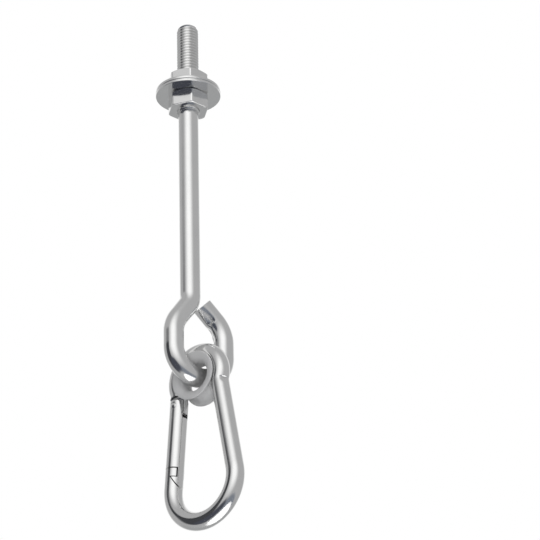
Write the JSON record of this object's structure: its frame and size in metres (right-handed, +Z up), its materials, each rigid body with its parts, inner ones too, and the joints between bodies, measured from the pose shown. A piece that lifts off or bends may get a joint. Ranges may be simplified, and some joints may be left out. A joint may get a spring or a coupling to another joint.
{
  "type": "hammock hook",
  "caption": "Threaded eye bolt with nuts and washers for a ceiling beam; a snap hook with a sprung gate hangs on a grooved bushing in its open eye, to carry a hammock or swing.",
  "frame": {"origin": "on the bolt's axis, in the plane where the two washers meet", "axes": "+Z up along the threaded stud, X along the axis that the bushing and the snap hook turn about, +Y towards the gate's side"},
  "size_m": [0.0359, 0.0435, 0.2571],
  "materials": {
    "zinc_steel": "bright zinc plate",
    "bare_steel": "plain bright steel",
    "grey_nylon": "matte moulded grey"
  },
  "bodies": {
    "bolt": {"eye_bolt": "zinc_steel", "lower_washer": "zinc_steel", "lower_nut": "zinc_steel"},
    "upper_washer": {"upper_washer": "zinc_steel"},
    "upper_nut": {"upper_nut": "zinc_steel"},
    "bushing": {"nylon_bushing": "grey_nylon"},
    "carabiner": {"carabiner_body": "zinc_steel"},
    "gate": {"carabiner_gate": "zinc_steel", "gate_pivot_pin": "zinc_steel", "gate_spring": "bare_steel"},
    "plunger": {"gate_plunger": "bare_steel"}
  },
  "joints": [
    {"name": "washer_slide", "type": "slide", "parent": "bolt", "child": "upper_washer", "axis": [0, 0, 1], "range_m": [0, 0.024]},
    {"name": "nut_turn", "type": "hinge", "parent": "upper_washer", "child": "upper_nut", "pos_m": [0, 0, 0], "axis": [0, 0, 1], "range_deg": [0, 5760]},
    {"name": "bushing_spin", "type": "hinge", "parent": "bolt", "child": "bushing", "pos_m": [0.00395, -0.00136, -0.1469], "axis": [1, 0, 0], "continuous": true},
    {"name": "carabiner_swing", "type": "hinge", "parent": "bolt", "child": "carabiner", "pos_m": [0.00395, -0.00136, -0.1469], "axis": [1, 0, 0], "range_deg": [-134, 139]},
    {"name": "gate_swing", "type": "hinge", "parent": "carabiner", "child": "gate", "pos_m": [0.00395, 0.01055, -0.15787], "axis": [-1, 0, 0], "range_deg": [0, 30], "stiffness_Nm_per_rad": 0.3, "springref_deg": -28.65},
    {"name": "plunger_slide", "type": "slide", "parent": "gate", "child": "plunger", "axis": [0, 0.0906, -0.9959], "range_m": [0, 0.0018], "deforming": ["gate_spring"]}
  ],
  "couplings": [
    {"joint": "washer_slide", "follows": "nut_turn", "m_per_rad": 0.00023873},
    {"joint": "plunger_slide", "follows": "gate_swing", "m_per_rad": 0.0034377}
  ]
}
